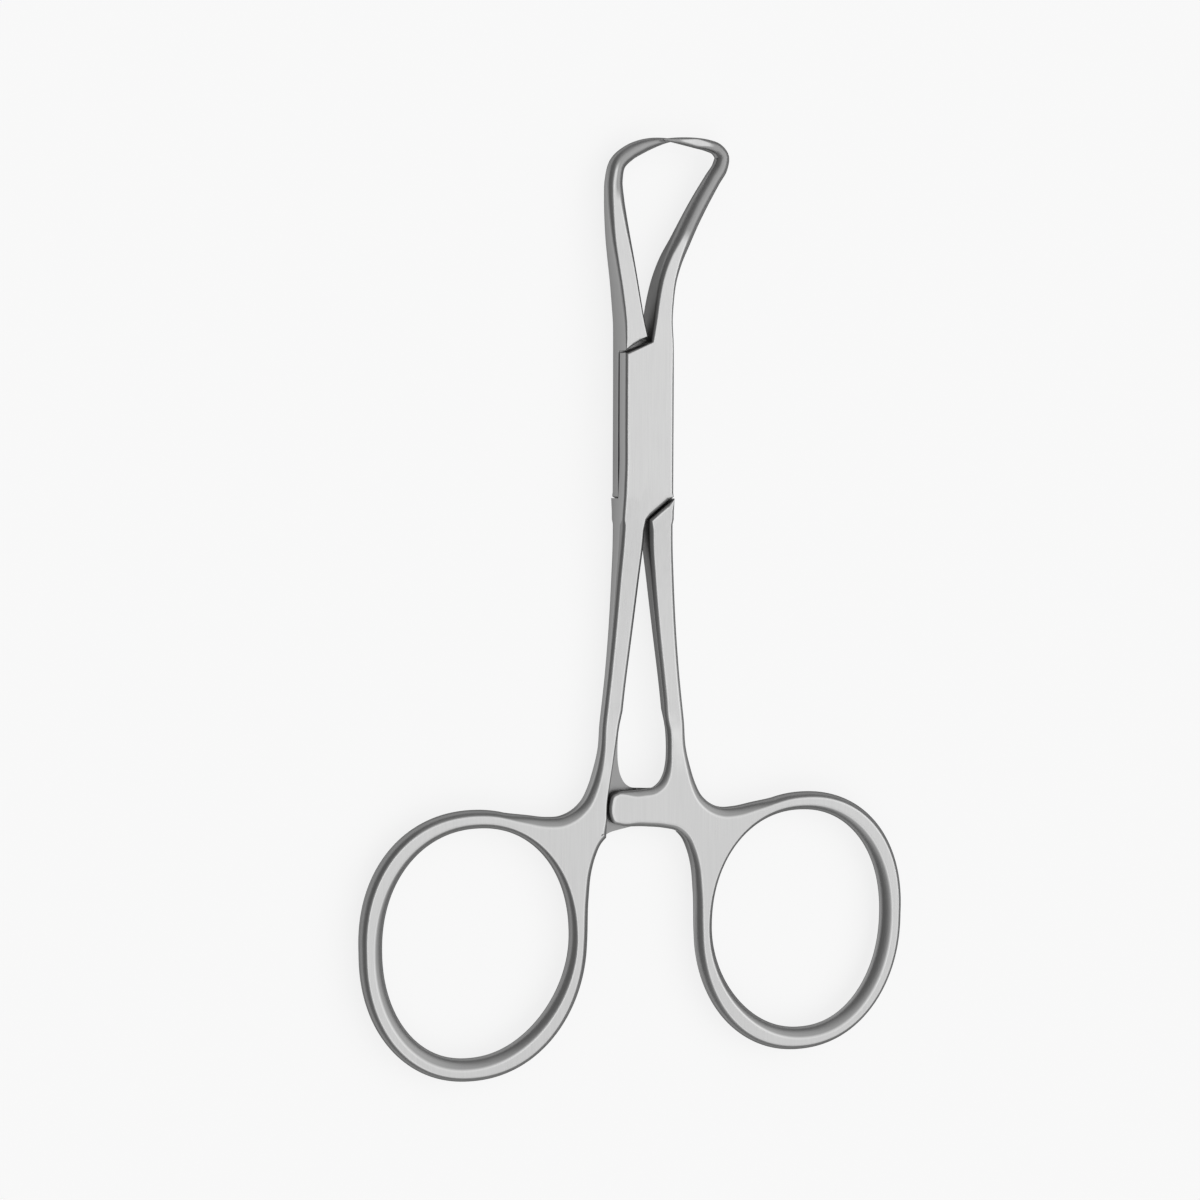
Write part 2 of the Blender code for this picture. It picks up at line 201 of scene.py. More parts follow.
# The hollows: beside the ring as shares across and down from the arm to the ring, above the bar
# from the arm's foot and the bar's top, and below it from the ring's start and the bar's underside
outer_hollow = [(0.764, 1.065), (0.567, 1.12), (0.412, 1.12), (0.283, 1.035), (0.176, 0.875),
                (0.105, 0.65), (0.050, 0.375)]
hollow_above_bar = [(0.13, 6.9), (0.21, 4.9), (0.12, 3.3), (-0.22, 1.9), (-0.75, 1.0),
                    (-1.6, 0.45)]
hollow_below_bar = [(-4.3, -0.55), (-2.7, -1.0), (-1.65, -1.95), (-0.95, -3.4), (-0.45, -5.2),
                    (-0.12, -8.5)]
# The step behind the ratchet bar: how far it lies inside the bar's root, and above the bar's top
step_stations = [(2.48, 11.2), (1.93, 9.1), (1.45, 6.7), (1.02, 4.6), (0.65, 2.5), (0.31, 0.5),
                 (0.08, -0.9), (0.00, -2.2), (0.00, -3.0)]
# What follows from these: the bar and the stems are as thick as the ring
joint_half = joint_width / 2
middle = joint_thickness / 2
arm_top = -shoulder_low_notch
web = ring_half_thickness
bar_top = ratchet_y + bar_half_height
bar_low = ratchet_y - bar_half_height
# Round the bar's end, from its top to its underside: x, y, half thickness
bar_end = [(-bar_reach + bar_end_top, bar_top + 0.2, web), (-bar_reach + 0.35, bar_top - 0.2, web),
           (-bar_reach, bar_top - 1.2, web), (-bar_reach + 0.05, bar_low + 1.3, web),
           (-bar_reach + 0.45, bar_low + 0.5, web), (-bar_reach + bar_end_low, bar_low + 0.12, web),
           (0, bar_low - 0.2, web)]
# Columns of an outline: x, y, half thickness, rounding inwards and upwards, shift in height,
# angle at which the rounding meets the flat, width of the edge break there, the painted light that
# raises the upright wall's colour towards the ground flats', and the way inwards
COLUMNS = 11
X, Y, HALF, IN, UP, LIFT, CROWN, BREAK, PAINTED_WALL_LIGHT, WAY_X, WAY_Y = range(COLUMNS)
# What an edge of an outline carries: the whole height, the lap plate's layer alone, the bar's
# layer alone, a shoulder down to the lap plate, or the step behind the bar
WHOLE, LAP, BAR, SHOULDER, BAR_STEP = range(5)


def through(stations, step):
    """A smooth run through the stations: cubic Hermite pieces by chord length, sampled evenly."""
    p = np.array(stations, dtype=float)
    chord = np.linalg.norm(np.diff(p[:, :2], axis=0), axis=1)
    along = np.concatenate([[0.0], np.cumsum(chord)])
    slope = np.gradient(p, along, axis=0)
    s = np.linspace(0.0, along[-1], max(2, round(along[-1] / step)) + 1)
    k = np.clip(np.searchsorted(along, s, side="right") - 1, 0, len(chord) - 1)
    u = ((s - along[k]) / chord[k])[:, None]
    reach = chord[k][:, None]
    return ((1 + 2 * u) * (1 - u) ** 2 * p[k] + u * (1 - u) ** 2 * reach * slope[k]
            + u ** 2 * (3 - 2 * u) * p[k + 1] + u ** 2 * (u - 1) * reach * slope[k + 1])


def eased(value, low, high):
    """A smooth step from 0 at low to 1 at high: 3 t squared less 2 t cubed."""
    t = np.clip((value - low) / (high - low), 0, 1)
    return t * t * (3 - 2 * t)


def edge_run(points, inwards, upwards, wall=outer_wall_painted_light):
    """Outline rows from x, y, half thickness, with one rounding or one for each point."""
    p = np.array(points, dtype=float)
    rows = np.full((len(p), COLUMNS), np.nan)
    rows[:, :3] = p[:, :3]
    rows[:, IN] = inwards
    rows[:, UP] = upwards
    rows[:, LIFT] = 0
    rows[:, CROWN] = ground_edge_angle
    rows[:, BREAK] = edge_break
    # The wall's painted light, which raises its colour towards the ground flats': the outer walls'
    # by default
    rows[:, PAINTED_WALL_LIGHT] = wall
    return rows


def jaw_run(stations, outer_share):
    """Both edges of a jaw: its middle line moved out by the half width to either side.

    The rounding is a share of the half width and height. Below the bend the outer side has only
    its outer share of that.
    """
    s = np.array(stations, dtype=float)
    s[:, 0] *= -1
    path = through(s, step=0.2)
    way = np.gradient(path[:, :2], axis=0)
    way /= np.linalg.norm(way, axis=1)[:, None]
    across = np.stack([way[:, 1], -way[:, 0]], axis=1)
    half_width = path[:, 2]
    height = np.minimum(path[:, 3], 1) * middle
    full_share = np.clip(path[:, 4], least_round_share, most_round_share)
    below_bend = 1 - eased(path[:, 1], *jaw_bend)
    sides = []
    # Painted shade and light: the inner side's wall keeps the dark satin colour, as painted shade
    # between the jaws; the outer side's wall is painted light
    for side, wall in ((1, 0), (-1, outer_wall_painted_light)):
        share = full_share if side > 0 else full_share * (1 - below_bend * (1 - outer_share))
        edge = path[:, :2] + side * across * half_width[:, None]
        rows = edge_run(np.column_stack([edge, height]), half_width * share, height * share, wall)
        rows[:, LIFT] = -points_shift * path[:, 5]
        roundness = np.clip((share - flat_fades_from) / flat_fades_over, 0, 1)
        rows[:, CROWN] = ground_edge_angle + (round_edge_angle - ground_edge_angle) * roundness
        rows[:, BREAK] = np.minimum(edge_break, narrow_break_share * half_width * (1 - share))
        rows[:, WAY_X:] = -side * across
        sides.append(rows[::side])
    return np.concatenate(sides)


def ring_line(angles, grow, lean, shoulder):
    """A superellipse round the ring's middle, grown outwards.

    The lower inner part leans outwards by the angle's sine to the power 1.5, and the upper outer
    part bulges by the sine, each times half of 1 minus or plus the cosine.
    """
    power = 2 / ring_squareness
    cos, sin = np.cos(angles), np.sin(angles)
    leaning = lean * np.maximum(-sin, 0) ** 1.5 * (1 - cos)
    bulging = shoulder * np.maximum(sin, 0) * (1 + cos)
    x = (ring_half_width + grow) * np.sign(cos) * np.abs(cos) ** power
    y = (ring_half_length + grow) * np.sign(sin) * np.abs(sin) ** power
    return np.stack([ring_out + (leaning + bulging) / 2 + x, ring_y + y], axis=1)


def arm_sides():
    """The arm's outer edge going up and its inner edge going down, as x, y, half thickness."""
    sides = [(out + side * half, arm_top + down * (bar_top - arm_top),
              shank_half + thick * (arm_root_half - shank_half))
             for side in (1, -1) for down, out, half, thick in arm_stations]
    return sides[:len(arm_stations)][::-1], sides[len(arm_stations):]


def outer_side(ring, outer_arm):
    """From the ring's top through the hollow and up the arm.

    The rounding eases from the ring's to the shank's, and swells by a parabola in the hollow.
    """
    low, high = ring[-1], np.array(outer_arm[0])
    start = (high[0] + hollow_start[0], high[1] + hollow_start[1])
    hollow = [(start[0] + across * (low[0] - start[0]), start[1] + down * (low[1] - start[1]), web)
              for across, down in outer_hollow]
    lead_in = 6
    run = through([ring[-lead_in], ring[-1]] + hollow
                  + [(*start, hollow_thicker * high[2])] + outer_arm, step=0.3)[lead_in:]
    run = run[run[:, 1] < arm_top - arm_top_room]
    run[:, 2] = np.minimum(run[:, 2], middle)
    up_arm = np.clip((run[:, 1] - bar_low) / (bar_top + shank_round_above - bar_low), 0, 1)
    near_ring = np.clip((run[:, 0] - high[0]) / (low[0] - high[0]), 0, 1)
    bulge = hollow_round * 4 * near_ring * (1 - near_ring)
    up_share = shank_round_share + near_ring * (ring_round_share - shank_round_share)
    # Painted shade: the wall's painted light falls from the outer walls' level on the arm to the
    # top walls' through the hollow towards the ring
    return edge_run(run, ring_outer_round + up_arm * (shank_edge_round - ring_outer_round) + bulge,
                    up_share * run[:, 2],
                    outer_wall_painted_light + eased(near_ring, *top_wall_painted_light_fade) * (top_wall_painted_light - outer_wall_painted_light))


def joint_right_side():
    """The joint's side over the arm, going up: slightly proud at the arm's root."""
    curved = through([(joint_half + arm_root_out, arm_top, arm_root_half),
                      (joint_half + joint_low_out, -shoulder_low_side, middle),
                      (joint_half, -0.6 * shoulder_low_side, middle),
                      (joint_half, 0, middle)], step=0.5)
    curved[:, 2] = np.minimum(curved[:, 2], middle)
    upright = [(joint_half, 0.5 * shoulder_top_side, middle),
               (joint_half, shoulder_top_side, middle)]
    return edge_run(np.concatenate([curved, upright]), joint_edge_round, joint_edge_round)


def joint_left_side():
    """The joint's other side, going down, and the lap plate's low edge, bowed by a parabola."""
    share = np.linspace(0, 1, low_edge_points)
    bow = shoulder_bow * 4 * share * (1 - share)
    low_edge = np.column_stack([-joint_half + share * (joint_half + jaw_root_gap / 2),
                                -shoulder_low_side + share * (arm_top + shoulder_low_side) - bow,
                                middle + share * (arm_root_half - middle)])
    side = [(-joint_half, 0.6 * shoulder_top_side, middle), (-joint_half, 0, middle),
            (-joint_half, low_corner_room - shoulder_low_side, middle)]
    rounding = np.full(len(side) + low_edge_points, joint_edge_round)
    rounding[-low_edge_points] = sharp_corner_round
    rounding[-low_edge_points + 1:-1] = low_edge_round
    return edge_run(np.concatenate([side, low_edge]), rounding, rounding)


def inner_side(inner_arm):
    """Down the arm, round the hollow above the bar and along the bar's top to its end."""
    corner = inner_arm[-1][0]
    run = through(inner_arm + [(corner + out, bar_top + up, web) for out, up in hollow_above_bar]
                  + [(0, bar_top + 0.3, web), bar_end[0]], step=0.25)[1:]
    by_bar = 1 - eased(run[:, 1], bar_top, bar_top + bar_top_fade)
    rounding = shank_edge_round + by_bar * (bar_top_round - shank_edge_round)
    from_end = eased(run[:, 0], bar_end[0][0], bar_end[0][0] + bar_end_fade)
    # The arm's inner wall, the hollow above the bar and the bar's top get no painted light: painted
    # shade between the arms
    return edge_run(run, bar_end_round + from_end * (rounding - bar_end_round),
                    bar_end_round + from_end * (shank_round_share * run[:, 2] - bar_end_round), 0)


def bar_end_side():
    """Round the bar's end, whose tip has the widest edge break, to its underside."""
    run = through(bar_end, step=0.2)[1:-1]
    from_end = eased(run[:, 0], bar_end[-2][0], bar_end[-2][0] + bar_end_fade)
    # The bar's end gets no painted light: its wall keeps the dark satin colour as painted shade
    rows = edge_run(run, bar_end_round + from_end * (bar_low_round - bar_end_round),
                    bar_end_round + from_end * (shank_round_share * web - bar_end_round), 0)
    rows[:, BREAK] += bar_end_break * (1 - eased(run[:, 0], -bar_reach + bar_tip, bar_end[0][0]))
    return rows


def under_bar(ring):
    """Along the bar's underside and down through the hollow to where the ring starts."""
    join = ring[0]
    hollow = [(join[0] + out, bar_low + up, web) for out, up in hollow_below_bar]
    run = through(bar_end[-2:] + hollow + [join, ring[4]], step=0.3)
    run = run[(run[:, 0] > 0) & (run[:, 1] > join[1] + 0.2)]
    down = np.clip((bar_low - run[:, 1]) / (bar_low - join[1]), 0, 1)
    up_share = shank_round_share + down * (ring_round_share - shank_round_share)
    # Painted shade under the bar: the wall's painted light grows from none at the bar to the outer
    # walls' at the ring
    return edge_run(run, bar_low_round + down * (stem_round - bar_low_round), up_share * web,
                    outer_wall_painted_light * down)


def blank_outline(jaw, outer_share):
    """The forging's whole edge, counter-clockwise, its arm at +X and its jaw at -X."""
    turned = np.linspace(ring_from, ring_to, ring_points)
    grow = ring_flat / 2 + ring_outer_round
    ring = np.column_stack([ring_line(np.radians(turned), grow, ring_lean, ring_shoulder),
                            np.full(ring_points, web)])
    near_stem = 1 - eased(turned, *stem_angles)
    # Painted shade: walls of the ring that face up fall to the top walls' painted light, by the
    # sine squared
    painted_shade_facing_up = np.maximum(np.sin(np.radians(turned)), 0) ** 2
    outer_arm, inner_arm = arm_sides()
    return np.concatenate([
        edge_run(ring, ring_outer_round + near_stem * (stem_round - ring_outer_round),
                 ring_round_share * web, outer_wall_painted_light + painted_shade_facing_up * (top_wall_painted_light - outer_wall_painted_light)),
        outer_side(ring, outer_arm),
        joint_right_side(),
        jaw_run(jaw, outer_share),
        joint_left_side(),
        inner_side(inner_arm),
        bar_end_side(),
        under_bar(ring),
    ])


def finger_hole():
    """The hole's edge, clockwise: the ring's line moved in by half the flat and the rounding.

    The rounding swings with the cosine of the angle, and is widest low on the outer side.
    """
    angle = np.radians(np.linspace(0, -360, hole_points, endpoint=False))
    swing = 1 + hole_round_swing * np.cos(angle + math.radians(hole_round_turn))
    inner_round = ring_inner_round * swing
    edge = ring_line(angle, -ring_flat / 2, hole_lean, 0)
    away = edge - np.array([ring_out, ring_y])
    away /= np.linalg.norm(away, axis=1)[:, None]
    wall = edge - away * inner_round[:, None]
    # The hole's wall gets the finger hole's lower painted light: painted shade inside the ring
    rows = edge_run(np.column_stack([wall, np.full(len(wall), ring_half_thickness)]),
                    inner_round, ring_round_share * ring_half_thickness, hole_wall_painted_light)
    rows[:, WAY_X:] = away
    return rows


def add_crossings(rows, line):
    """Outline rows with one more row wherever the outline crosses a straight line."""
    start, stop = np.array(line, dtype=float)
    run = stop - start
    ahead = np.roll(rows, -1, axis=0)
    side = (rows[:, X] - start[0]) * run[1] - (rows[:, Y] - start[1]) * run[0]
    side_ahead = np.roll(side, -1)
    crosses = side * side_ahead < 0
    share = np.where(crosses, side / np.where(crosses, side - side_ahead, 1), 0)
    extra = rows + share[:, None] * (ahead - rows)
    along = (extra[:, :2] - start) @ run / (run @ run)
    found = np.flatnonzero(crosses & (along >= 0) & (along <= 1))
    order = np.argsort(np.concatenate([np.arange(len(rows)), found + 0.5]))
    return np.concatenate([rows, extra[found]])[order]


def straight(first, last, count=0, corners=()):
    """Rows between two rows along a straight or bent line, clear of its ends, all else blended.

    A parabola bows a shoulder outwards by a few microns, so no three of its points lie in line.
    """
    stops = np.array([first[:2], *corners, last[:2]])
    gone = np.concatenate([[0], np.cumsum(np.linalg.norm(np.diff(stops, axis=0), axis=1))])
    if corners:
        s = gone[(gone > corner_room) & (gone < gone[-1] - corner_room)]
        bow = 0
    else:
        s = np.linspace(corner_room, gone[-1] - corner_room, count)
        bow = math.copysign(shoulder_bow, first[Y])
    share = (s / gone[-1])[:, None]
    rows = first + share * (last - first)
    rows[:, X] = np.interp(s, gone, stops[:, 0])
    rows[:, Y] = np.interp(s, gone, stops[:, 1]) + bow * 4 * share[:, 0] * (1 - share[:, 0])
    rows[:, CROWN] = ground_edge_angle
    rows[:, BREAK] = edge_break
    # Shoulders and the bar's step get no painted light: their walls keep the dark satin colour as
    # painted shade
    rows[:, PAINTED_WALL_LIGHT] = 0
    rows[:, WAY_X:] = np.nan
    return rows


def aim_inwards(rows):
    """Fills each missing way inwards with the mitre of the two edges that meet there.

    The mitre is the sum of the two edges' normals over 1 plus their dot product.
    """
    p = rows[:, :2]
    before = p - np.roll(p, 1, axis=0)
    after = np.roll(before, -1, axis=0)
    before = before / np.linalg.norm(before, axis=1)[:, None]
    after = after / np.linalg.norm(after, axis=1)[:, None]
    left_before = np.stack([-before[:, 1], before[:, 0]], axis=1)
    left_after = np.stack([-after[:, 1], after[:, 0]], axis=1)
    facing = np.clip(np.sum(left_before * left_after, axis=1), sharpest_mitre, 1)
    mitre = (left_before + left_after) / (1 + facing)[:, None]
    return np.where(np.isnan(rows[:, [WAY_X, WAY_Y]]), mitre, rows[:, [WAY_X, WAY_Y]])


def tooth_height(x):
    """Depth of the ratchet's notches at x: a saw, steep at its start and sloping back to 0."""
    from_start = x / tooth_pitch + tooth_count / 2
    in_rack = (from_start >= 0) & (from_start < tooth_count)
    return np.where(in_rack, tooth_depth * (1 - np.mod(from_start, 1)), 0)


def wall_levels(rows, toothed=False):
    """The wall's levels from the back flat to the front flat, as (level, point, x y z ground).

    Each side is an elliptical arc from the upright wall to the crown angle, a narrow edge break
    and a first ring of the flat; between the sides lie the two faces of the seam. The ground mask
    is 1 from the crown inwards and fades where the rounding takes the whole width. At the upright
    wall and on the seam's faces it holds the row's painted light instead, and it is 0 on the
    rounding.
    """
    way = aim_inwards(rows)
    arc = np.linspace(0, 1, rounding_steps + 1)[:, None] * np.radians(rows[:, CROWN])[None, :]
    crown = np.radians(rows[:, CROWN])[None, :]
    inwards = rows[:, IN] * (1 - np.cos(arc)) / (1 - np.cos(crown))
    drop = rows[:, BREAK] * np.tan((math.pi / 2 - crown) / 2)
    height = rows[:, HALF] - drop - (rows[:, UP] - drop) * (1 - np.sin(arc) / np.sin(crown))
    rim = rows[:, IN] + rows[:, BREAK]
    inset = rim + rows[:, BREAK]
    inwards = np.concatenate([inwards, rim[None], inset[None]])
    height = np.concatenate([height, rows[None, :, HALF], rows[None, :, HALF]])
    split = np.minimum(seam_gap / 2, seam_share * (rows[:, HALF] - rows[:, UP]))
    centre = middle + rows[:, LIFT]
    front_seam = centre + split + (tooth_height(rows[:, X]) if toothed else 0)
    z = np.concatenate([centre - height[::-1], [centre - split], [front_seam], centre + height])
    deep = np.concatenate([inwards[::-1], np.zeros((2, len(rows))), inwards])
    x = rows[:, X] + way[:, 0] * deep
    y = rows[:, Y] + way[:, 1] * deep
    flatness = np.clip((no_flat_angle - rows[:, CROWN]) / flat_fade_angle, 0, 1)
    wall = rows[None, :, PAINTED_WALL_LIGHT]
    rounded = np.zeros((rounding_steps - 1, len(rows)))
    side = np.concatenate([wall, rounded, np.tile(flatness, (3, 1))])
    ground = np.concatenate([side[::-1], wall, wall, side])
    return np.stack([x, y, z, ground], axis=2)


BACK_SEAM = rounding_steps + 3
FRONT_SEAM = BACK_SEAM + 1
LEVELS = 2 * FRONT_SEAM


class Shell:
    """Collects grids and flats of one piece, then joins them where their points meet.

    Every point is x, y, z and the ground mask: 1 on the ground flats, the painted light's level on
    the upright walls, 0 elsewhere.
    """

    def __init__(self):
        self.points = []
        self.faces = []
        self.count = 0

    def add(self, points, faces):
        """Takes in points and the faces on them, numbered on from what is there."""
        self.points.append(points)
        self.faces += (faces + self.count).tolist()
        self.count += len(points)

    def wall(self, grid, kinds, first, last, carried):
        """Quads between neighbouring levels, over the outline's edges of the kinds carried."""
        n = grid.shape[1]
        i = np.flatnonzero(np.isin(kinds, carried))
        j = (i + 1) % n
        level = np.arange(first, last)[:, None]
        above = level + 1
        quads = np.stack([level * n + i, level * n + j, above * n + j, above * n + i], axis=-1)
        self.add(grid.reshape(-1, 4), quads.reshape(-1, 4))

    def flat(self, loops, spacing, height_at=None, steps=(), ground=0):
        """A face filled between loops: Delaunay triangles over a hexagonal field of points.

        The field takes its height and ground mask from the rim, or from height_at and ground. The
        steps are x where the face has a sharp step, and an edge of the mesh follows each.
        """
        rim = np.concatenate(loops)
        first = np.cumsum([0] + [len(loop) for loop in loops[:-1]])
        rounds = [np.arange(len(loop)) for loop in loops]
        edges = np.concatenate([np.stack([run, (run + 1) % len(run)], axis=1) + start
                                for run, start in zip(rounds, first)])
        low, high = rim[:, :2].min(axis=0), rim[:, :2].max(axis=0)
        gx, gy = np.meshgrid(np.arange(low[0], high[0], spacing),
                             np.arange(low[1], high[1], spacing * math.sqrt(3) / 2))
        gx = gx + (np.arange(gx.shape[0]) % 2)[:, None] * spacing / 2
        field = np.stack([gx.ravel(), gy.ravel()], axis=1)
        field = field[inside(field, rim, edges)]
        field = field[from_edges(field, rim, edges) > rim_room * spacing]
        for x in steps:
            field = field[np.abs(field[:, 0] - x) > step_room * spacing]
        flat_points = np.concatenate([rim[:, :2], field])
        if height_at is None:
            rest = blended(field, rim)
        else:
            rest = np.column_stack([height_at(field), np.full(len(field), ground)])
        rest = np.concatenate([rim[:, 2:], rest])
        links = [tuple(pair) for pair in edges.tolist()]
        for x in steps:
            on_step = np.flatnonzero(np.abs(rim[:, 0] - x) < 1e-6)
            links.append(tuple(on_step[:2].tolist()))
        out, _, faces, source, _, _ = delaunay_2d_cdt(
            [Vector(p) for p in flat_points.tolist()], links, [], 0, 1e-7)
        faces = np.array(faces)
        places = np.array([tuple(p) for p in out])
        corner = places[faces]
        area = np.cross(corner[:, 1] - corner[:, 0], corner[:, 2] - corner[:, 0])
        kept = faces[inside(corner.mean(axis=1), rim, edges) & (np.abs(area) > 1e-7)]
        origin = np.array([found[0] for found in source])
        self.add(np.column_stack([places, rest[origin]]), kept)

    def mesh(self, name):
        """The piece in metres, its doubles joined and its faces turned outwards."""
        mesh = bpy.data.meshes.new(name)
        points = np.concatenate(self.points)
        mesh.from_pydata((points[:, :3] * MM).tolist(), [], self.faces)
        # The ground mask: 1 on the ground flats, and on the upright walls their painted light
        ground = mesh.attributes.new("ground", "FLOAT", "POINT")
        ground.data.foreach_set("value", points[:, 3].astype(np.float32))
        bm = bmesh.new()
        bm.from_mesh(mesh)
        bmesh.ops.remove_doubles(bm, verts=bm.verts, dist=1e-7)
        bmesh.ops.dissolve_degenerate(bm, edges=bm.edges, dist=1e-8)
        bmesh.ops.recalc_face_normals(bm, faces=bm.faces)
        bm.to_mesh(mesh)
        bm.free()
        mesh.shade_smooth()
        mesh.set_sharp_from_angle(angle=math.radians(sharp_angle))
        return mesh


def inside(points, rim, edges):
    """True where a point is inside the loops: an odd number of edges lies level to its right."""
    a, b = rim[edges[:, 0], :2], rim[edges[:, 1], :2]
    spans = (a[None, :, 1] > points[:, None, 1]) != (b[None, :, 1] > points[:, None, 1])
    rise = np.where(a[:, 1] == b[:, 1], 1, b[:, 1] - a[:, 1])
    at = a[:, 0] + (points[:, None, 1] - a[:, 1]) * (b[:, 0] - a[:, 0]) / rise
    return (np.sum(spans & (at > points[:, None, 0]), axis=1) % 2) == 1


def from_edges(points, rim, edges):
    """Distance from each point to the nearest edge: the perpendicular's foot is kept on it."""
    a, b = rim[edges[:, 0], :2], rim[edges[:, 1], :2]
    run = b - a
    reach = np.maximum((run ** 2).sum(axis=1), 1e-12)
    share = np.clip(((points[:, None, :] - a) * run).sum(axis=2) / reach, 0, 1)
    return np.linalg.norm(points[:, None, :] - a - share[:, :, None] * run, axis=2).min(axis=1)


def blended(field, rim):
    """Height and ground mask inside a rim: the rim's own, weighed by 1 over distance^4."""
    away = ((field[:, None, :] - rim[None, :, :2]) ** 2).sum(axis=2)
    weight = 1 / np.maximum(away, 1e-9) ** 2
    return weight @ rim[:, 2:] / weight.sum(axis=1)[:, None]


def circle(radius, z, ground=0):
    """A circle round the pivot's axis at one height, as x, y, z, ground."""
    angle = np.linspace(0, 2 * math.pi, circle_points, endpoint=False)
    return np.stack([radius * np.cos(angle), radius * np.sin(angle), np.full(circle_points, z),
                     np.full(circle_points, ground)], axis=1)


def shoulder_lines():
    """The top and the low shoulder's lines, each run from one side of the joint past the other."""
    root = jaw_root_gap / 2
    top_rise = (shoulder_top_notch + notch_opening - shoulder_top_side) / (joint_half + root)
    low_rise = (shoulder_low_notch - shoulder_low_side) / (joint_half + root)
    top = [(x, joint_gap + shoulder_top_side + (x + joint_half) * top_rise)
           for x in (-2 * joint_half, joint_half)]
    low = [(x, -joint_gap - shoulder_low_side + (x - joint_half) * low_rise)
           for x in (-joint_half, 2 * joint_half)]
    return top, low


def bar_step_line():
    """The step behind the ratchet bar, from the arm down to below the bar."""
    line = through([(bar_root_out - out, bar_top + up) for out, up in step_stations], step=0.75)
    return [tuple(place) for place in line] + [(bar_root_out, bar_low - step_overrun)]


top_line, low_line = shoulder_lines()
step_line = bar_step_line()
step_pieces = list(zip(step_line, step_line[1:]))
# Each tooth's steep face is a narrow slope between two lines, so that the bar's face stays closed
saw_steps = [(index - tooth_count / 2) * tooth_pitch for index in range(tooth_count)]
saw_lines = [at + side * tooth_slope for at in saw_steps for side in (-1, 1)]


def crossing(rows, line, beside):
    """Which row lies on a line, nearest to a place."""
    (x0, y0), (x1, y1) = line
    off = np.abs((rows[:, X] - x0) * (y1 - y0) - (rows[:, Y] - y0) * (x1 - x0))
    away = np.hypot(rows[:, X] - beside[0], rows[:, Y] - beside[1])
    return int(np.argmin(np.where(off < 1e-9, away, np.inf)))


def shoulder_ends(rows):
    """Which rows end the shoulders: low right, top right, top left and low left."""
    return (crossing(rows, low_line, (joint_half, -shoulder_low_side)),
            crossing(rows, top_line, (0, shoulder_top_notch)),
            crossing(rows, top_line, (-joint_half, shoulder_top_side)),
            crossing(rows, low_line, (0, -shoulder_low_notch)))


def cut_outline(jaw, outer_share):
    """The outline with a row wherever a shoulder, the bar's step or a tooth's face crosses it.

    Rows that crowd a shoulder's end are left out, except along the lap plate.
    """
    rows = blank_outline(jaw, outer_share)
    tooth_lines = [[(x, bar_low - tooth_overrun), (x, bar_top + tooth_overrun)] for x in saw_lines]
    for line in [top_line, low_line, *step_pieces, *tooth_lines]:
        rows = add_crossings(rows, line)
    ends = shoulder_ends(rows)
    low_right, top_right, top_left, low_left = ends
    away = np.min([np.hypot(*(rows[:, :2] - rows[end, :2]).T) for end in ends], axis=0)
    crowded = (away > 0) & (away < corner_room)
    crowded[low_right:top_right] = False
    crowded[top_left:low_left] = False
    return rows[~crowded]


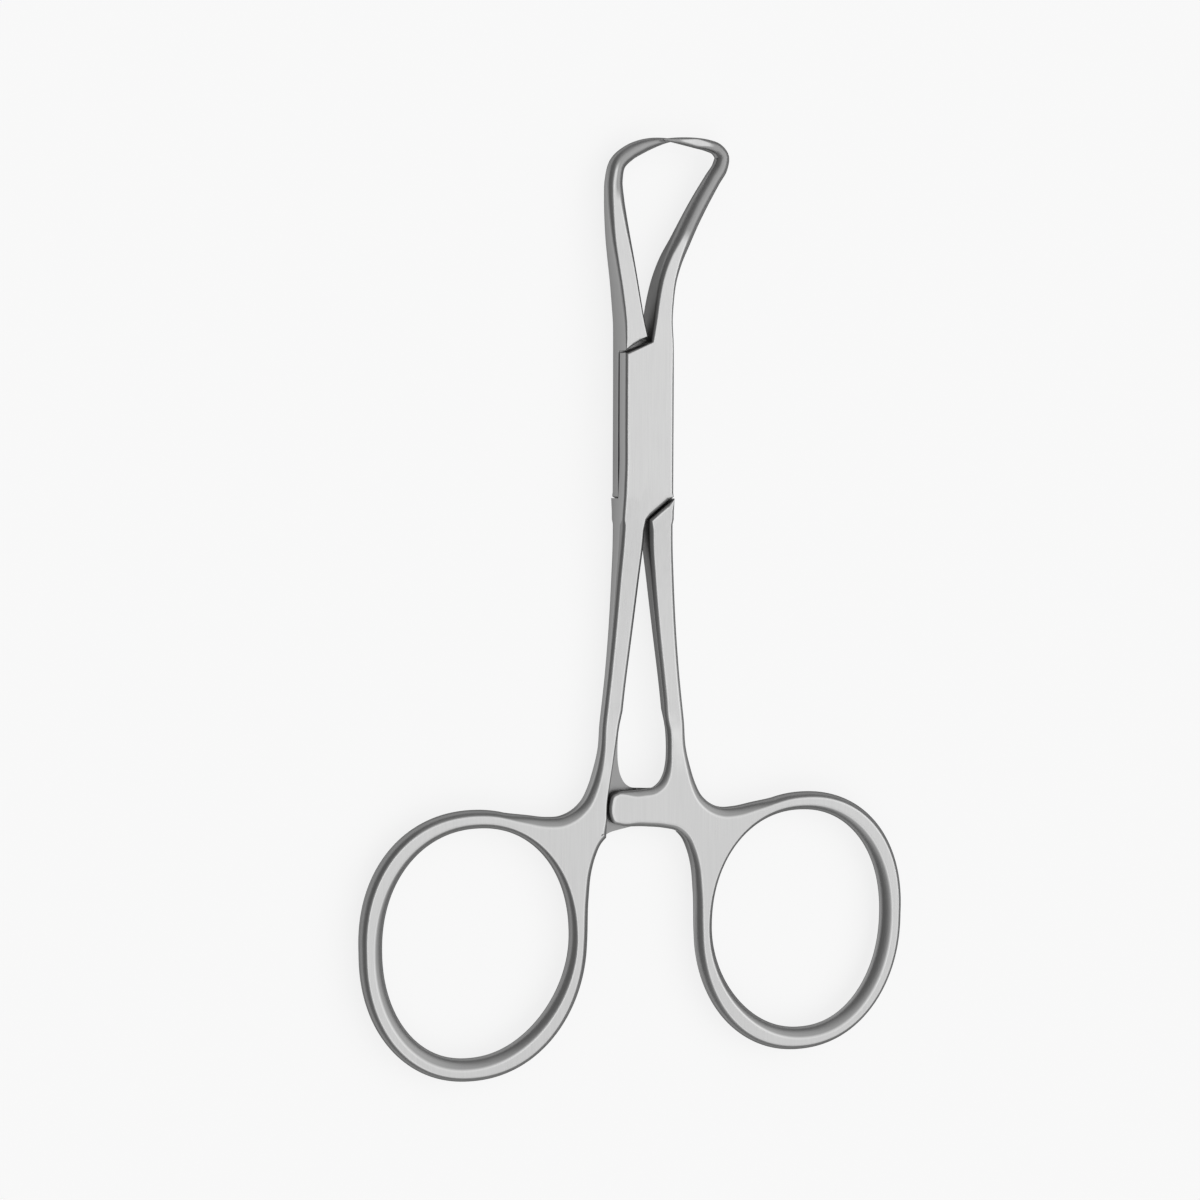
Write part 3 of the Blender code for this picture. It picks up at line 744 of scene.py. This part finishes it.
def forged_half(name, jaw, outer_share, hole_radius, hole_bottom=None):
    """One half, in the rear half's place: walls by level, and the flats between them.

    The back layer goes round behind the bar. The front layer is a jaw and an arm with the lap's
    width between them, and the seam's two faces close what is left open.
    """
    rows = cut_outline(jaw, outer_share)
    low_right, top_right, top_left, low_left = shoulder_ends(rows)
    step_top = min((crossing(rows, piece, step_line[0]) for piece in step_pieces),
                   key=lambda k: abs(rows[k, Y] - step_line[0][1]))
    step_low = crossing(rows, step_pieces[-1], (bar_root_out, bar_low - 1))
    kinds = np.full(len(rows), WHOLE)
    kinds[low_right:top_right] = LAP
    kinds[top_left:low_left] = LAP
    kinds[step_top:step_low] = BAR

    top_shoulder = straight(rows[top_left], rows[top_right], top_shoulder_points)
    low_shoulder = straight(rows[low_right], rows[low_left], low_shoulder_points)
    corners = [place for place in step_line if rows[step_low, Y] < place[1] < rows[step_top, Y]]
    bar_step = straight(rows[step_top], rows[step_low], corners=corners)
    top_shoulder[:, [IN, UP]] = joint_edge_round
    low_shoulder[:, [IN, UP]] = joint_edge_round
    above_bar = eased(bar_step[:, Y] - bar_top, *step_round_fade)
    step_round = step_edge_round + above_bar * (shank_edge_round - step_edge_round)
    bar_step[:, [IN, UP]] = step_round[:, None]
    front = rows.copy()
    for end in (low_right, top_left):
        front[end, [IN, UP]] = sharp_corner_round

    back = np.concatenate([rows[:step_top + 1], bar_step, rows[step_low:]])
    back_kinds = np.concatenate([kinds[:step_top], np.full(len(bar_step) + 1, BAR_STEP),
                                 kinds[step_low:]])
    jaw_loop = np.concatenate([front[top_right:top_left + 1], top_shoulder])
    jaw_kinds = np.concatenate([kinds[top_right:top_left],
                                np.full(len(top_shoulder) + 1, SHOULDER)])
    arm_loop = np.concatenate([front[low_left:], front[:low_right + 1], low_shoulder])
    arm_kinds = np.concatenate([kinds[low_left:], kinds[:low_right],
                                np.full(len(low_shoulder) + 1, SHOULDER)])
    hole = finger_hole()
    hole_kinds = np.full(len(hole), WHOLE)

    back_grid = wall_levels(back)
    jaw_grid = wall_levels(jaw_loop)
    arm_grid = wall_levels(arm_loop)
    hole_grid = wall_levels(hole)
    bar_run = np.flatnonzero(arm_kinds == BAR)
    in_bar = np.zeros(len(arm_loop), dtype=bool)
    in_bar[bar_run[0]:bar_run[-1] + 2] = True
    toothed = wall_levels(arm_loop, toothed=True)
    arm_grid[FRONT_SEAM, in_bar] = toothed[FRONT_SEAM, in_bar]

    shell = Shell()
    shell.wall(back_grid, back_kinds, 0, BACK_SEAM, [WHOLE, LAP, BAR_STEP])
    shell.wall(back_grid, back_kinds, BACK_SEAM, FRONT_SEAM, [WHOLE, BAR_STEP])
    for grid, edge_kinds in ((jaw_grid, jaw_kinds), (arm_grid, arm_kinds)):
        shell.wall(grid, edge_kinds, BACK_SEAM, FRONT_SEAM, [SHOULDER])
        shell.wall(grid, edge_kinds, FRONT_SEAM, LEVELS - 1, [WHOLE, BAR, SHOULDER])
    shell.wall(hole_grid, hole_kinds, 0, LEVELS - 1, [WHOLE])

    through_hole = hole_bottom is None
    bottom = 0 if through_hole else hole_bottom
    lap_face = middle - seam_gap / 2
    back_loops = [back_grid[0], hole_grid[0]]
    if through_hole:
        back_loops.append(circle(hole_radius, bottom, 1))
    shell.flat(back_loops, flat_spacing)
    shell.flat([jaw_grid[-1]], jaw_spacing)
    shell.flat([arm_grid[-1], hole_grid[-1]], flat_spacing)
    lap_runs = [rows[low_right:top_right + 1], top_shoulder[::-1],
                rows[top_left:low_left + 1], low_shoulder[::-1]]
    lap_loop = np.concatenate([wall_levels(run)[BACK_SEAM] for run in lap_runs])
    # The lap face and its pin hole's rim get the outer walls' painted light, as its rim does
    shell.flat([lap_loop, circle(hole_radius, lap_face, outer_wall_painted_light)], flat_spacing,
               height_at=lambda field: np.full(len(field), lap_face), ground=outer_wall_painted_light)
    bar_loop = np.concatenate([toothed[FRONT_SEAM, in_bar],
                               wall_levels(bar_step[::-1])[FRONT_SEAM]])
    shell.flat([bar_loop], bar_spacing, steps=saw_lines,
               height_at=lambda field: middle + seam_gap / 2 + tooth_height(field[:, 0]))

    bore = np.stack([circle(hole_radius, bottom), circle(hole_radius, lap_face)])
    shell.wall(bore, np.full(circle_points, WHOLE), 0, 1, [WHOLE])
    if not through_hole:
        shell.flat([circle(hole_radius, bottom)], bar_spacing)
    return shell.mesh(name)


ground_roughness = 0.30
satin_roughness = 0.38
roughness_spread = 0.10
roughness_drift = 0.08
mark_scale = (9000, 160, 9000)
satin_scale = (5200, 5200, 5200)
broad_scale = (110, 70, 110)
tone_spread = 0.5
tone_drift = 0.16
mark_strength = 0.12
mark_depth = 0.00002
ground_tones = ((0.46, 0.46, 0.462, 1), (0.62, 0.62, 0.616, 1))
# The satin is darker than the steel itself: a real satin finish, darkened further as painted shade
# on the walls and roundings
satin_and_painted_shade_tones = ((0.24, 0.24, 0.241, 1), (0.33, 0.33, 0.328, 1))
rim_tint = (0.2, 0.2, 0.2, 1)


def steel_marks_group():
    """The finish of a clamp's steel: fine grinding marks along Y on the flats, satin elsewhere.

    Noise drawn out along Y gives the marks and an even noise the satin. The ground mask chooses
    between them, and a broad noise varies the tone a little over about a centimetre.
    """
    group = bpy.data.node_groups.new("steel_marks", "ShaderNodeTree")
    for label in ("Ground", "Tone Spread"):
        group.interface.new_socket(label, in_out="INPUT", socket_type="NodeSocketFloat")
    for label in ("Tone", "Roughness", "Height"):
        group.interface.new_socket(label, in_out="OUTPUT", socket_type="NodeSocketFloat")
    nodes, link = group.nodes, group.links.new
    given, made = nodes.new("NodeGroupInput"), nodes.new("NodeGroupOutput")
    place = nodes.new("ShaderNodeTexCoord")

    def noise(scale, detail):
        scaled = nodes.new("ShaderNodeMapping")
        scaled.inputs["Scale"].default_value = scale
        link(place.outputs["Object"], scaled.inputs["Vector"])
        texture = nodes.new("ShaderNodeTexNoise")
        texture.inputs["Detail"].default_value = detail
        texture.inputs["Scale"].default_value = 1
        link(scaled.outputs["Vector"], texture.inputs["Vector"])
        return texture.outputs["Fac"]

    def maths(operation, a, b):
        node = nodes.new("ShaderNodeMath")
        node.operation = operation
        for socket, value in zip(node.inputs, (a, b)):
            if isinstance(value, (int, float)):
                socket.default_value = value
            else:
                link(value, socket)
        return node.outputs[0]

    def plus(a, b):
        return maths("ADD", a, b)

    def times(a, b):
        return maths("MULTIPLY", a, b)

    def chosen(mask, plain, ground):
        node = nodes.new("ShaderNodeMix")
        link(mask, node.inputs["Factor"])
        link(plain, node.inputs["A"])
        link(ground, node.inputs["B"])
        return node.outputs["Result"]

    marks = noise(mark_scale, detail=3)
    satin = noise(satin_scale, detail=2)
    broad = noise(broad_scale, detail=2)
    grain = chosen(given.outputs["Ground"], satin, marks)
    centred = maths("SUBTRACT", grain, 0.5)
    drift = maths("SUBTRACT", broad, 0.5)
    tone = plus(times(centred, given.outputs["Tone Spread"]), times(drift, tone_drift))
    link(plus(tone, 0.5), made.inputs["Tone"])
    brighter = times(given.outputs["Ground"], ground_roughness - satin_roughness)
    level = plus(times(drift, roughness_drift), plus(brighter, satin_roughness))
    link(plus(times(centred, roughness_spread), level), made.inputs["Roughness"])
    link(grain, made.inputs["Height"])
    return group


steel_marks = steel_marks_group()


def clamp_steel(name):
    """Stainless steel: bright where it is ground flat, a darker satin on all that is rounded,
    partly as painted shade, and the upright walls lifted towards the flats' colour by painted
    light.
    """
    material = bpy.data.materials.new(name)
    material.use_nodes = True
    nodes, link = material.node_tree.nodes, material.node_tree.links.new
    shader = nodes["Principled BSDF"]
    shader.inputs["Metallic"].default_value = 1.0
    shader.inputs["Specular Tint"].default_value = rim_tint
    # The ground mask picks the ground flats' colour, and on the upright walls it carries their
    # painted light
    ground = nodes.new("ShaderNodeAttribute")
    ground.attribute_name = "ground"
    marks = nodes.new("ShaderNodeGroup")
    marks.node_tree = steel_marks
    marks.inputs["Tone Spread"].default_value = tone_spread
    link(ground.outputs["Fac"], marks.inputs["Ground"])
    finish = nodes.new("ShaderNodeMix")
    finish.data_type = "RGBA"
    link(ground.outputs["Fac"], finish.inputs["Factor"])
    satin_input, ground_input = finish.inputs[6], finish.inputs[7]
    for socket, (dark, light) in ((satin_input, satin_and_painted_shade_tones), (ground_input, ground_tones)):
        tone = nodes.new("ShaderNodeValToRGB")
        tone.color_ramp.elements[0].color = dark
        tone.color_ramp.elements[1].color = light
        link(marks.outputs["Tone"], tone.inputs["Fac"])
        link(tone.outputs["Color"], socket)
    link(finish.outputs[2], shader.inputs["Base Color"])
    link(marks.outputs["Roughness"], shader.inputs["Roughness"])
    bump = nodes.new("ShaderNodeBump")
    bump.inputs["Strength"].default_value = mark_strength
    bump.inputs["Distance"].default_value = mark_depth
    link(marks.outputs["Height"], bump.inputs["Height"])
    link(bump.outputs["Normal"], shader.inputs["Normal"])
    return material


def place_piece(name, mesh, material):
    """An object of the mesh, at the origin, with its material."""
    mesh.materials.append(material)
    piece = bpy.data.objects.new(name, mesh)
    bpy.context.scene.collection.objects.link(piece)
    return piece


rear_mesh = forged_half("rear_half_forging", left_jaw, left_jaw_outer_share, seated_pin_hole)
rear_half = place_piece("rear_half_forging", rear_mesh, clamp_steel("rear_half_steel_finish_and_painted_light"))
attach(rear_half, "rear_half")
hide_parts("rear_half")

# The front half
# The same forging turned over, so its plate lies in front: its jaw leans further out, and its
# pin hole is blind, which leaves the joint's front one unbroken ground face.
right_jaw = [
    (1.63, 9.90, 1.46, 1.00, 0.15, 0), (1.80, 12.60, 1.22, 0.97, 0.25, 0),
    (2.09, 15.00, 1.15, 0.91, 0.30, 0), (2.55, 17.30, 1.12, 0.82, 0.38, 0),
    (3.40, 19.70, 1.12, 0.73, 0.50, 0), (4.60, 22.05, 1.12, 0.64, 0.76, 0),
    (5.85, 24.50, 1.10, 0.57, 0.95, 0), (7.27, 27.05, 1.05, 0.50, 0.95, 0),
    (8.74, 29.47, 0.98, 0.46, 0.95, 0), (9.75, 31.10, 0.94, 0.43, 0.95, 0),
    (9.95, 32.25, 0.86, 0.41, 0.95, 0), (9.30, 33.08, 0.76, 0.38, 0.95, 0),
    (8.10, 33.50, 0.67, 0.34, 0.78, 0), (6.60, 33.72, 0.57, 0.27, 0.40, 0.1),
    (5.10, 33.82, 0.47, 0.21, 0.70, 0.6), (3.70, 33.87, 0.32, 0.15, 0.95, 1),
    (2.30, 33.90, 0.10, 0.055, 0.90, 1),
]
right_jaw_outer_share = 1
running_pin_hole = 1.6
pin_cover = 0.5


def turned_over(mesh):
    """The mesh turned half round the Y axis through the joint's middle layer."""
    points = np.empty(len(mesh.vertices) * 3)
    mesh.vertices.foreach_get("co", points)
    points = points.reshape(-1, 3) * (-1, 1, -1) + (0, 0, joint_thickness * MM)
    mesh.vertices.foreach_set("co", points.ravel())
    mesh.update()
    return mesh


front_mesh = turned_over(forged_half("front_half_forging", right_jaw, right_jaw_outer_share,
                                     running_pin_hole, pin_cover))
front_half = place_piece("front_half_forging", front_mesh, clamp_steel("front_half_steel_finish_and_painted_light"))
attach(front_half, "front_half")
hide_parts("front_half")

# The pivot pin
# A plain steel pin pressed into the rear half and ground flush with its back, where it shows
# as a fine circle. Its other end turns in the front half's blind hole.
pin_radius = 1.3
pin_top = joint_thickness - pin_cover - joint_gap
pin_edge = 0.05


def pin_mesh():
    """A surface of revolution: the pin's half profile carried round the Z axis, poles merged."""
    edge_radius = pin_radius - pin_edge
    profile = np.array([(0, 0), (pin_radius / 2, 0), (edge_radius, 0), (pin_radius, pin_edge),
                        (pin_radius, pin_top - pin_edge), (edge_radius, pin_top),
                        (pin_radius / 2, pin_top), (0, pin_top)])
    radius, height = profile.T[:, :, None]
    turn = np.linspace(0, 2 * math.pi, circle_points, endpoint=False)[None]
    all_round = np.ones(turn.shape)
    grid = np.stack([radius * np.cos(turn), radius * np.sin(turn), height * all_round,
                     (height <= pin_edge) * all_round], axis=2)
    shell = Shell()
    shell.wall(grid, np.full(circle_points, WHOLE), 0, len(grid) - 1, [WHOLE])
    return shell.mesh("pivot_pin_turned")


pivot_pin = place_piece("pivot_pin_turned", pin_mesh(), clamp_steel("pin_steel_finish"))
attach(pivot_pin, "rear_half")
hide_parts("pivot_pin")

# The floor and the light
# A plain pale floor that takes the clamp's soft shadow. The studio's light is one broad bank from
# overhead down to the right, with a narrow strip overhead, and the left is left dark.

# The floor's reach and height, in metres
floor_reach = 3.0
floor_height = -0.00005
floor_white = (0.90, 0.90, 0.90, 1)
floor_lift = 0.80
floor_mesh = bpy.data.meshes.new("floor")
floor_mesh.from_pydata([(x * floor_reach, y * floor_reach, floor_height)
                        for x, y in ((-1, -1), (1, -1), (1, 1), (-1, 1))], [], [(0, 1, 2, 3)])


def floor_paint():
    """Matt pale paint, lifted towards white where the camera or the steel looks at it."""
    paint = bpy.data.materials.new("floor_paint")
    paint.use_nodes = True
    nodes, link = paint.node_tree.nodes, paint.node_tree.links.new
    matt = nodes["Principled BSDF"]
    matt.inputs["Base Color"].default_value = floor_white
    matt.inputs["Roughness"].default_value = 1.0
    matt.inputs["Specular IOR Level"].default_value = 0.0
    white = nodes.new("ShaderNodeEmission")
    path = nodes.new("ShaderNodeLightPath")
    seen = path.outputs["Is Camera Ray"]
    for ray in ("Is Glossy Ray", "Is Transmission Ray"):
        either = nodes.new("ShaderNodeMath")
        either.operation = "MAXIMUM"
        link(seen, either.inputs[0])
        link(path.outputs[ray], either.inputs[1])
        seen = either.outputs[0]
    share = nodes.new("ShaderNodeMath")
    share.operation = "MULTIPLY"
    share.inputs[1].default_value = floor_lift
    link(seen, share.inputs[0])
    lifted = nodes.new("ShaderNodeMixShader")
    link(share.outputs[0], lifted.inputs["Fac"])
    link(matt.outputs[0], lifted.inputs[1])
    link(white.outputs[0], lifted.inputs[2])
    link(lifted.outputs[0], nodes["Material Output"].inputs["Surface"])
    return paint


place_piece("floor", floor_mesh, floor_paint())

bank_light = 1.2
dark_side = 0.30
low_right_light = 0.6
strip_light = 0.6
foot_light = 0.78
# The way to the bank's middle, and between which values along a way each part comes or goes
bank_way = (1.0, -0.5, 0.30)
bank_edge = (0.05, 0.28)
horizon_edge = (0.32, 0.58)
low_right_edge = (0.45, 0.80)
strip_left_edge = (-0.24, -0.10)
strip_right_edge = (0.05, 0.20)
foot_edge = (-0.30, 0.0)
world = bpy.data.worlds.new("studio")
world.use_nodes = True
bpy.context.scene.world = world
sky_nodes, sky_link = world.node_tree.nodes, world.node_tree.links.new


def sky_step(value, edge, from_level, to_level):
    """A smooth step of one part of the direction, from one level to another over an edge."""
    step = sky_nodes.new("ShaderNodeMapRange")
    step.interpolation_type = "SMOOTHSTEP"
    step.inputs["From Min"].default_value = edge[0]
    step.inputs["From Max"].default_value = edge[1]
    step.inputs["To Min"].default_value = from_level
    step.inputs["To Max"].default_value = to_level
    sky_link(value, step.inputs["Value"])
    return step.outputs["Result"]


def sky_math(a, b, operation):
    """Two parts of the light put together, as a sum or a product."""
    node = sky_nodes.new("ShaderNodeMath")
    node.operation = operation
    sky_link(a, node.inputs[0])
    sky_link(b, node.inputs[1])
    return node.outputs[0]


sky_place = sky_nodes.new("ShaderNodeTexCoord").outputs["Generated"]
direction = sky_nodes.new("ShaderNodeSeparateXYZ")
sky_link(sky_place, direction.inputs["Vector"])
bank = sky_nodes.new("ShaderNodeVectorMath")
bank.operation = "DOT_PRODUCT"
bank.inputs[1].default_value = bank_way
sky_link(sky_place, bank.inputs[0])
bank_part = sky_step(bank.outputs["Value"], bank_edge, 0, bank_light - dark_side)
above_horizon = sky_step(direction.outputs["Z"], horizon_edge, 0, 1)
low_right = sky_step(direction.outputs["X"], low_right_edge, 0, low_right_light)
strip = sky_math(sky_step(direction.outputs["X"], strip_left_edge, 0, strip_light),
                 sky_step(direction.outputs["X"], strip_right_edge, 1, 0), "MULTIPLY")
lit = sky_math(sky_math(bank_part, low_right, "ADD"), strip, "ADD")
lit = sky_math(lit, above_horizon, "MULTIPLY")
lit = sky_math(lit, sky_step(direction.outputs["Y"], foot_edge, foot_light, 1), "MULTIPLY")
all_round = sky_nodes.new("ShaderNodeMath")
all_round.inputs[1].default_value = dark_side
sky_link(lit, all_round.inputs[0])
sky_link(all_round.outputs[0], sky_nodes["Background"].inputs["Strength"])
sky_nodes["Background"].inputs["Color"].default_value = (1, 1, 1, 1)
bpy.context.scene.view_settings.view_transform = "Standard"
